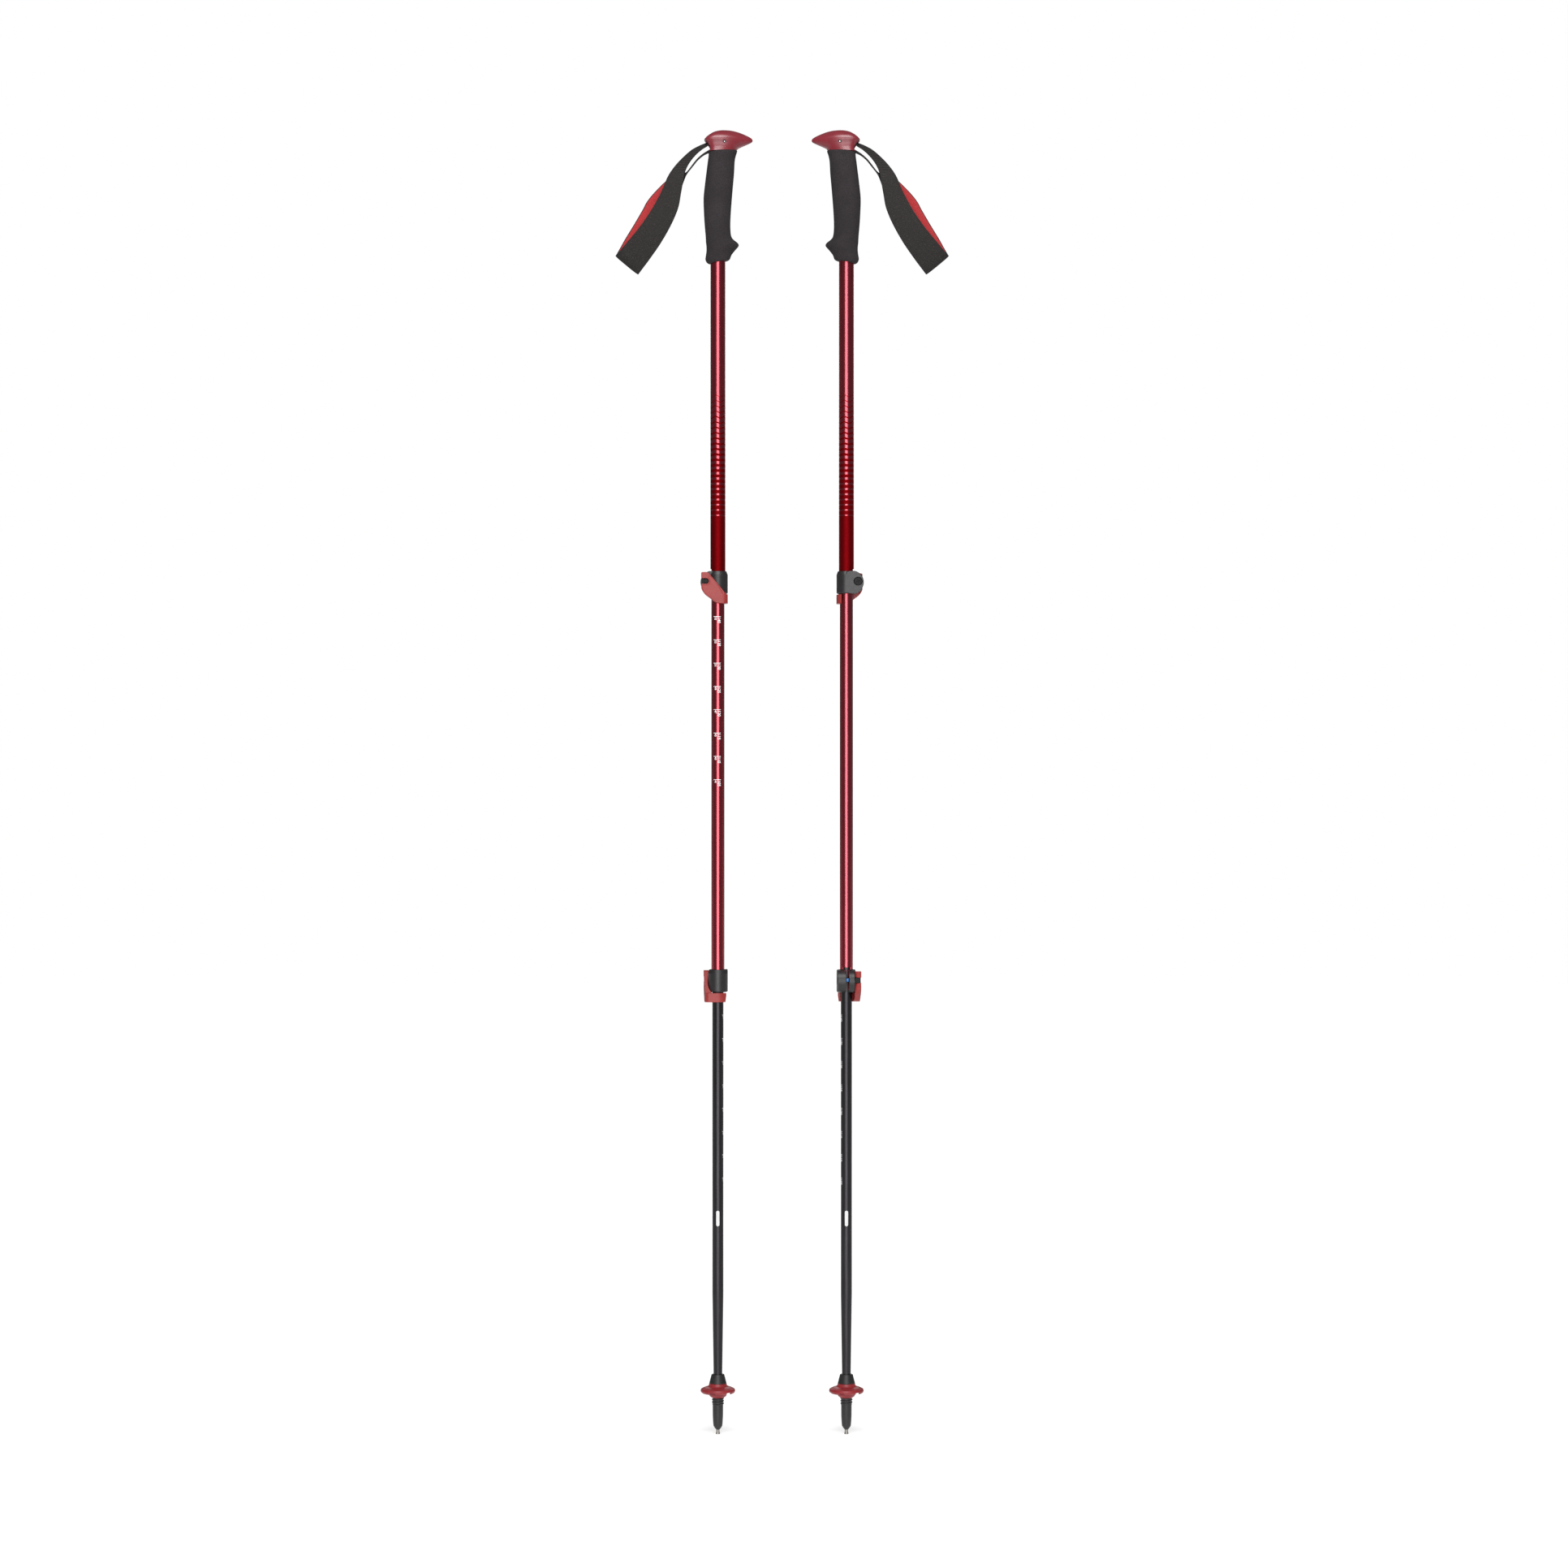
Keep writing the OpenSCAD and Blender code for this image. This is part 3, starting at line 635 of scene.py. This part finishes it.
# The same measures down the foam grip, with its spur in front and its lip at the foot
GRIP_ROWS = [
    [1258.2, -9, 11.2, 9.8, 0.19, 2, 0],
    [1258.5, -10, 12.2, 10.5, 0.19, 2, 0],
    [1260, -12.2, 13.1, 11.2, 0.15, 2.1, 0],
    [1262.8, -13.4, 13.9, 11.7, 0.1, 2.2, 0],
    [1266, -12.9, 15.1, 12, 0.05, 2.2, 0.2],
    [1270.4, -12.3, 18.3, 12.7, 0.02, 2.2, 0.55],
    [1274.4, -12.3, 21.5, 13.1, 0, 2.2, 0.8],
    [1276.8, -12.5, 22.4, 13.1, 0, 2.2, 0.85],
    [1279.4, -12.8, 20.8, 13.1, 0, 2.2, 0.7],
    [1283.2, -13, 16.1, 13.2, 0, 2.2, 0.35],
    [1288, -13.3, 14, 13.6, 0, 2.2, 0.1],
    [1298, -14.2, 13.4, 14.2, 0, 2.2, 0],
    [1311, -15, 13.9, 14.7, 0, 2.2, 0],
    [1327, -15.4, 15.1, 14.8, 0, 2.2, 0],
    [1342.5, -13.8, 16.4, 14.5, 0, 2.3, 0],
    [1354, -12.4, 17.4, 14.2, 0, 2.5, 0],
    [1366, -10.9, 18.1, 13.9, 0.03, 3, 0],
    [1371.6, -10.1, 19.3, 13.8, 0.05, 3.4, 0],
    [1375.8, -9.8, 20.7, 13.8, SEAM_RISE, 3.8, 0],
    [1376.7, -9.2, 20.3, 13.3, SEAM_RISE, 4, 0]]
GRIP_BORE_R = 8.03


def bore_ring(row):
    """The grip's round bore at the height and slope of one of its outlines."""
    z, rise = row[0], row[4]
    return [(x, y, z + rise * x) for x, y, _ in lathe_ring(GRIP_BORE_R, 0, PLAN_SIDES)]


def make_grip(side):
    outside = [plan_ring(row, GRIP_WIDEST) for row in catmull(GRIP_ROWS, 4)]
    inside = [bore_ring(GRIP_ROWS[-1]), bore_ring(GRIP_ROWS[0])]
    grip = loft(f"{side}_foam", outside + inside, pole_matrix(side), MATERIALS["foam_black"],
                "loop", 50)
    settle(grip, f"{side}_handle", f"{side}_foam_grip")


# ---------------------------------------------------------------- wrist strap

# Outer edge and inner edge of the strap at each station, x, y, z each: from inside the head
# down the near strand, round the fold at the wrist and up the far strand into the head
STRAP_ROWS = [
    [-8, 8, 1387.9, -8, -8, 1387.5],
    [-13, 7.9, 1387.2, -10.6, -7.9, 1382.6],
    [-20.4, 7.4, 1384.2, -16.8, -7.4, 1378.6],
    [-29, 6.7, 1379.2, -23.2, -7, 1373.2],
    [-38.8, 5.3, 1370.2, -29.9, -7, 1365.2],
    [-46.9, 1.5, 1360.6, -34.8, -7.8, 1355.4],
    [-53.6, -5, 1349.4, -37, -9, 1344.4],
    [-59.4, -9.2, 1335, -39.2, -10.4, 1331.5],
    [-64.8, -11, 1323.8, -42.2, -11.4, 1315.2],
    [-73.6, -12, 1308.6, -49.4, -12, 1297.6],
    [-86, -11.8, 1291.4, -60.2, -11.6, 1278.4],
    [-97.7, -9.2, 1277.9, -71.6, -9, 1262.2],
    [-105.6, -5.4, 1269.2, -80.6, -5.2, 1250.8],
    [-109.3, -1.3, 1265.9, -84.8, -1.3, 1246],
    [-109.4, 1.3, 1266.3, -85, 1.3, 1246.4],
    [-106.2, 5.2, 1272.6, -82, 5.4, 1253.6],
    [-99.9, 8.6, 1284.6, -75.4, 8.8, 1267],
    [-91, 10.8, 1299.6, -67.6, 10.9, 1285.4],
    [-81.4, 11.6, 1316.2, -59.4, 11.6, 1303.6],
    [-76.4, 11.6, 1325.4, -53.8, 11.4, 1315.4],
    [-68.2, 11.5, 1335.4, -47.8, 9.6, 1326.4],
    [-55.2, 10.6, 1347.8, -40.2, 4.6, 1337.8],
    [-43, 9.8, 1355, -35.9, -2.4, 1347.4],
    [-34.6, 8.6, 1355.6, -33, -7, 1352.8],
    [-28.4, 8, 1361.8, -27.5, -8, 1360.4],
    [-22.5, 8, 1369.1, -21.8, -8, 1367.6],
    [-15.9, 8, 1374.6, -15.4, -8, 1373.2],
    [-8.8, 8, 1377.8, -8.8, -8, 1377.4],
    [-4.6, 8, 1379.3, -4.6, -8, 1379.3]]
STRAP_STEPS = 6           # steps of the mesh between two stations
STRIP_FACES = 14          # faces across the strap
PAD_FROM, PAD_TO = 6, 21  # stations between which the strap is padded and lined
FOLD_STATION = 13.5
FOLD_REACH = 2.2          # stations over which the fold flattens the crown
CROWN = 0.9               # how far the padded part bows
WEB_T, PAD_T = 1.6, 2.3   # thickness of the plain webbing and of the padded part
LINING_T = 0.5
LINING_GAP = 0.05
LINING_TRIM = 0.9         # black edge left at each side of the lining


def strap_frames():
    """Edge points and the wrist-side direction along the whole strap, in millimetres."""
    rows = catmull(STRAP_ROWS, STRAP_STEPS)
    edges = [(Vector(r[:3]), Vector(r[3:])) for r in rows]
    frames = []
    for i, (outer, inner) in enumerate(edges):
        before, after = edges[max(i - 1, 0)], edges[min(i + 1, len(edges) - 1)]
        along = after[0] + after[1] - before[0] - before[1]
        inward = along.cross(outer - inner).normalized()
        frames.append((outer, inner, inward))
    return frames


def steps_along(frames):
    """Length of each step down the middle of the strap."""
    middles = [(outer + inner) / 2 for outer, inner, _ in frames]
    return [(b - a).length for a, b in zip(middles, middles[1:])]


def pad_share(station):
    """How much of the padding the strap has at a station, 0 on the plain webbing."""
    return (blend_steps(station, PAD_FROM - 1.5, PAD_FROM + 0.5)
            * (1 - blend_steps(station, PAD_TO - 0.5, PAD_TO + 1)))


def ribbon(name, frames, first, thickness, shift, trim, matrix, material):
    """A closed ribbon along the strap from its first station. Thickness and shift are functions
    of the station and of the place across it, from -1 to 1. One UV layer holds the cloth's own
    length and width, the other how much of it is padded."""
    rings, layout, make, run = [], [], [], 0.0
    steps = [0.0] + steps_along(frames)
    for k, (outer, inner, inward) in enumerate(frames):
        station = first + k / STRAP_STEPS
        span = (outer - inner).normalized()
        wide = (outer - inner).length - 2 * trim
        run += steps[k]
        ring, uv = [], []
        for face in (1, -1):
            for i in range(STRIP_FACES + 1):
                v = (i / STRIP_FACES * 2 - 1) * face
                centre_line = (outer + inner) / 2 + span * (-v * wide / 2)
                ring.append(centre_line + inward * (shift(station, v)
                                                    + face * thickness(station, v) / 2))
                uv.append((run * MM, (v + 1) / 2 * wide * MM))
        rings.append(ring)
        layout += uv
        make += [(pad_share(station), 0)] * len(ring)
    strip = loft(name, rings, matrix, material, sharp_deg=60)
    for layer, values in (("cloth", layout), ("make", make)):
        uv_layer = strip.data.uv_layers.new(name=layer)
        for loop in strip.data.loops:
            uv_layer.data[loop.index].uv = values[loop.vertex_index]
    return strip


def make_strap(side):
    matrix = pole_matrix(side, handed=True)
    frames = strap_frames()

    def crown(station, v):
        """The padded part bows away from the wrist, but not at its fold."""
        flat = math.exp(-((station - FOLD_STATION) / FOLD_REACH) ** 2)
        return -CROWN * pad_share(station) * (1 - v * v) * (1 - flat)

    def web_thickness(station, v):
        """The padding tapers to the sides, and the edges are a little thinner."""
        pad = pad_share(station) * (1 - abs(v) ** 3)
        return (WEB_T + (PAD_T - WEB_T) * pad) * (1 - 0.35 * abs(v) ** 12)

    web = ribbon(f"{side}_strap", frames, 0, web_thickness, crown, 0, matrix,
                 MATERIALS["webbing_black"])
    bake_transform(web)
    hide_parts(f"{side}_strap_webbing")

    def lining_shift(station, v):
        inner_face = crown(station, v) + web_thickness(station, v) / 2
        return inner_face + LINING_T / 2 + LINING_GAP

    first, last = PAD_FROM + 0.5, PAD_TO + 0.5
    lined = frames[round(first * STRAP_STEPS):round(last * STRAP_STEPS) + 1]
    liner = ribbon(f"{side}_lining", lined, first, lambda station, v: LINING_T, lining_shift,
                   LINING_TRIM, matrix, MATERIALS["lining_red"])
    settle(liner, f"{side}_strap", f"{side}_strap_lining")


# ---------------------------------------------------------------- moulded lock parts

# Lock, body of its collar, height in metres and turn about the pole in degrees
LOCKS = (("upper", "handle", 0.9143, 0), ("lower", "middle", 0.4869, -86))
COLLAR_VOXEL, LEVER_VOXEL, BASKET_VOXEL = 0.00035, 0.0003, 0.0003
LOCK_ROUNDS, BASKET_ROUNDS = 4, 3         # rounds of smoothing
LEVER_FACE_Y = -14.6      # outer face of a lever, in its lock's own frame
SLOT_Z, SLOT_HALF = 1, 2.9
SLOT_END_X = -12.4


def softened(name, node, voxel, rounds, material, pocket=None, fills=()):
    """A copy of a CAD node with a pocket cut in, fills joined on, and its edges rounded as on a
    moulding."""
    mesh = frame["nodes"][node].data.copy()
    work = bmesh.new()
    work.from_mesh(mesh)
    bmesh.ops.remove_doubles(work, verts=work.verts, dist=1e-6)
    work.to_mesh(mesh)
    work.free()
    copy = bpy.data.objects.new(name, mesh)
    scene.collection.objects.link(copy)
    if pocket:
        cut(copy, pocket)
    work = bmesh.new()
    for part in (copy, *fills):
        work.from_mesh(part.data)
    work.to_mesh(copy.data)
    work.free()
    for fill in fills:
        bpy.data.objects.remove(fill)
    remesh = copy.modifiers.new("remesh", "REMESH")
    remesh.mode = "VOXEL"
    remesh.voxel_size = voxel
    smooth = copy.modifiers.new("smooth", "SMOOTH")
    smooth.factor = 0.5
    smooth.iterations = rounds
    apply_modifiers(copy)
    copy.data.materials.clear()
    copy.data.materials.append(material)
    copy.data.shade_smooth()
    return copy


# Sunk field of the lever's face inside its raised rim: down the outer side, along the foot and
# back up the slanted edge
FIELD_SIDE_X = -17.1
FIELD_DOWN = [(FIELD_SIDE_X, -3.4), (-15.9, -8), (-12.9, -12.3), (-7.9, -16.2), (-3.3, -19.7),
              (-0.4, -21.1), (3, -21.6)]
FIELD_BACK = [(6.2, -21.6), (6.2, -13.4), (-1.1, -0.6), (-8.8, 7.6)]
FIELD_DEPTH = 0.32
POCKET_REACH = 4          # the cutter of the field stands this far out of the lever's face
RIM = 1.2                 # width of the rim round the slot
# The wall behind the field is thin below and above the slot, and is made up to this depth there
BACKING_T = 0.8
BACKING_HALF = 2.2
BACKING_HEIGHTS = ((-7.8, -2.2), (4.2, 9))


def lever_field():
    """Outline of the sunk field, going round the slot's rim."""
    rim = SLOT_HALF + RIM
    arc = [(SLOT_END_X + rim * math.cos(math.radians(a)), SLOT_Z + rim * math.sin(math.radians(a)))
           for a in range(60, -91, -15)]
    return catmull(FIELD_DOWN, 4) + FIELD_BACK + arc + [(FIELD_SIDE_X, SLOT_Z - rim)]


THREAD_LOCK_Y = 1.1       # half width of the thread-lock patch on the screw, in the slit
THREAD_LOCK_R = 2.02


def make_lever(side, lock, matrix):
    material = MATERIALS["lever_red"]
    floor_y = LEVER_FACE_Y + FIELD_DEPTH
    pocket = prism("pocket", lever_field(), LEVER_FACE_Y - POCKET_REACH, floor_y, matrix, material)
    back, front = SLOT_END_X - BACKING_HALF, SLOT_END_X + BACKING_HALF
    fills = [prism("fill", [(back, low), (back, high), (front, high), (front, low)],
                   floor_y, floor_y + BACKING_T, matrix, material)
             for low, high in BACKING_HEIGHTS]
    lever = softened(f"{side}_{lock}_lever_moulding", f"{side}_{lock}_lever", LEVER_VOXEL,
                     LOCK_ROUNDS, material, pocket, fills)
    settle(lever, f"{side}_{lock}_lever", f"{side}_{lock}_lever")


def make_lock_parts(side):
    for lock, body, z, turn in LOCKS:
        matrix = (pole_matrix(side) @ Matrix.Rotation(math.radians(turn), 4, "Z")
                  @ Matrix.Translation((0, 0, z / MM)))
        collar = softened(f"{side}_{lock}_collar_moulding", f"{side}_{lock}_collar", COLLAR_VOXEL,
                          LOCK_ROUNDS, MATERIALS["collar_grey"])
        settle(collar, f"{side}_{body}", f"{side}_{lock}_collar")
        make_lever(side, lock, matrix)
        thread_lock = cross_rod(f"{side}_{lock}_thread_lock", SLOT_END_X, SLOT_Z, THREAD_LOCK_R,
                                -THREAD_LOCK_Y, THREAD_LOCK_Y, matrix, MATERIALS["thread_lock"])
        settle(thread_lock, f"{side}_{body}")


# ---------------------------------------------------------------- tip and basket

def make_basket(side):
    basket = softened(f"{side}_basket_moulding", f"{side}_basket", BASKET_VOXEL, BASKET_ROUNDS,
                      MATERIALS["basket_red"])
    settle(basket, f"{side}_basket", f"{side}_basket")


# Radius and height up the tip's barrel, and up its neck and the cone above the basket
BARREL = [(1.5, 5), (2.05, 5), (2.2, 5.2), (3.4, 6.6), (3.8, 7.3), (4.45, 8.3), (4.8, 9),
          (4.85, 9.5), (5.1, 11.5), (5.3, 14.5), (5.6, 20), (5.68, 30.4), (5.7, 31.4)]
CONE = [(5.85, 40.2), (5.85, 54.6), (8.9, 54.6), (9.15, 54.8), (9.15, 55.7), (8.95, 56),
        (7.1, 63.2), (6.75, 64.1), (6.3, 64.3), (4.85, 64.3), (4.85, 60)]
TIP_SIDES = 96
THREAD_PITCH, THREAD_FOOT, THREAD_TOP = 2.8, 31.5, 39.8
THREAD_CORE_R, THREAD_CREST_R = 5.85, 6.55
THREAD_RINGS = 56
THREAD_RUN_IN = 1.4       # height over which the ridge grows to its full size
RIDGE_HALF = 0.19         # half width of the ridge, as a share of the pitch


def thread_ring(z):
    """Outline of the screw thread at one height."""
    def radius(a):
        turn = ((z - THREAD_FOOT) / THREAD_PITCH - a / (2 * math.pi)) % 1
        ridge = math.exp(-((turn - 0.5) / RIDGE_HALF) ** 4)
        fade = blend_steps(z, THREAD_FOOT, THREAD_FOOT + THREAD_RUN_IN)
        return THREAD_CORE_R + (THREAD_CREST_R - THREAD_CORE_R) * ridge * fade
    return lathe_ring(radius, z, TIP_SIDES)


def make_flex_tip(side):
    """The rubbery tip: a tapered barrel, a screw thread and a cone above the basket."""
    rings = [lathe_ring(r, z, TIP_SIDES) for r, z in BARREL]
    rings += [thread_ring(THREAD_FOOT + (THREAD_TOP - THREAD_FOOT) * k / THREAD_RINGS)
              for k in range(THREAD_RINGS + 1)]
    rings += [lathe_ring(r, z, TIP_SIDES) for r, z in CONE]
    tip = loft(f"{side}_tip", rings, pole_matrix(side), MATERIALS["tip_black"], sharp_deg=50)
    settle(tip, f"{side}_lower", f"{side}_flex_tip")


# ---------------------------------------------------------------- scale and marks

MIDDLE_R, LOWER_R = 7, 6
INK_LIFT = 0.02           # ink stands this far off its shaft
MARK_PITCH = 25.0
MARKS = 8
TOP_CM, STEP_CM = 140, 5
TICK_W, TICK_H, TICK_X = 8, 0.55, -0.8
CM_SIZE, CM_X = 3.0, 1.6  # size and place of the centimetre figures, and of the inch figures
INCH_SIZE, INCH_X = 2.2, -2.4
FIGURE_GAP = 0.7          # from a tick down to its figures
FIGURE_STEP = 0.25        # width of the strips that a figure is cut into
CAPITAL_SHARE = 0.7       # height of a figure as a share of the font's size
BOLD = 0.06

# Name, body, radius of the shaft, height of the top mark, turn from the camera side in degrees
SCALES = (
    ("upper_scale", "middle", MIDDLE_R, 877.6, 0),
    ("lower_scale", "lower", LOWER_R, 450, 98))


def wrap(points, radius, turn):
    """Lays flat (across, up) points in millimetres on a shaft, at a turn from the camera side."""
    out = []
    for across, up in points:
        a = math.radians(turn - 90) + across / radius
        out.append(((radius + INK_LIFT) * math.cos(a), (radius + INK_LIFT) * math.sin(a), up))
    return out


def tick(z):
    """Points and faces of a line across the shaft, fine enough to bend round it."""
    columns = 10
    points = [(TICK_X + (i / columns - 0.5) * TICK_W, z + (j - 0.5) * TICK_H)
              for j in (0, 1) for i in range(columns + 1)]
    faces = [(i, i + 1, columns + 2 + i, columns + 1 + i) for i in range(columns)]
    return points, faces


def figures(text, tall, cx, top):
    """Points and faces of figures that read down the pole, from their top end."""
    curve = bpy.data.curves.new("figures", "FONT")
    curve.body = text
    curve.size = tall / CAPITAL_SHARE
    curve.offset = BOLD
    holder = bpy.data.objects.new("figures", curve)
    work = bmesh.new()
    work.from_mesh(bpy.data.meshes.new_from_object(holder))
    bpy.data.objects.remove(holder)
    # Narrow enough faces to bend round the shaft
    for k in range(math.ceil(tall / FIGURE_STEP)):
        everything = work.verts[:] + work.edges[:] + work.faces[:]
        bmesh.ops.bisect_plane(work, geom=everything, plane_co=(0, k * FIGURE_STEP, 0),
                               plane_no=(0, 1, 0))
    work.verts.index_update()
    points = [(cx - tall / 2 + v.co.y, top - v.co.x) for v in work.verts]
    faces = [tuple(v.index for v in face.verts) for face in work.faces]
    work.free()
    return points, faces


def make_scale(side, name, body, radius, top_z, turn):
    """White length marks: a line across, with centimetres and inches beside each other."""
    points, faces = [], []
    for k in range(MARKS):
        z = top_z - k * MARK_PITCH
        cm = TOP_CM - k * STEP_CM
        for part in (tick(z),
                     figures(str(cm), CM_SIZE, CM_X, z - FIGURE_GAP),
                     figures(str(round(cm / 2.54)), INCH_SIZE, INCH_X, z - FIGURE_GAP)):
            base = len(points)
            points += part[0]
            faces += [tuple(base + i for i in face) for face in part[1]]
    marks = make_mesh(f"{side}_{name}", wrap(points, radius, turn), faces, pole_matrix(side),
                      MATERIALS["scale_white"])
    settle(marks, f"{side}_{body}")


MARK_Z, MARK_W, MARK_H = 232, 3.6, 17
MARK_ROWS, MARK_COLUMNS = 24, 8


def make_plain_marks(side):
    """A plain silver bar with round ends on the front and the back of the lower shaft."""
    points, faces = [], []
    for turn in (0, 180):
        flat = []
        for k in range(MARK_ROWS + 1):
            up = (k / MARK_ROWS - 0.5) * MARK_H
            past = max(0, abs(up) - (MARK_H - MARK_W) / 2)
            half = math.sqrt(max(0.01, (MARK_W / 2) ** 2 - past ** 2))
            flat += [(half * (i / MARK_COLUMNS * 2 - 1), MARK_Z + up)
                     for i in range(MARK_COLUMNS + 1)]
        base = len(points)
        points += wrap(flat, LOWER_R, turn)
        faces += [tuple(base + i for i in face)
                  for face in loft_faces(MARK_ROWS + 1, MARK_COLUMNS + 1, "open", False)]
    marks = make_mesh(f"{side}_plain_marks", points, faces, pole_matrix(side),
                      MATERIALS["mark_silver"])
    settle(marks, f"{side}_lower")


# ---------------------------------------------------------------- assembly

def dress_cad_nodes():
    """Gives each CAD node its finish and smooth sides; the upper shafts get the fade."""
    slots = {row["node"]: row["material_slot"] for row in frame["record"]["subparts"]}
    fades = {f"{side}_upper_shaft": fade_shaft(side) for side in SIDES}
    for name, obj in frame["nodes"].items():
        obj.data.materials.clear()
        obj.data.materials.append(fades.get(name, MATERIALS[slots[name]]))
        shade(obj.data, 30)


def make_pole(side):
    make_head(side)
    make_pin(side)
    make_grip(side)
    make_strap(side)
    make_lock_parts(side)
    make_basket(side)
    make_flex_tip(side)
    make_plain_marks(side)
    for scale in SCALES:
        make_scale(side, *scale)


make_camera()
make_stage()
dress_cad_nodes()
for side in SIDES:
    make_pole(side)
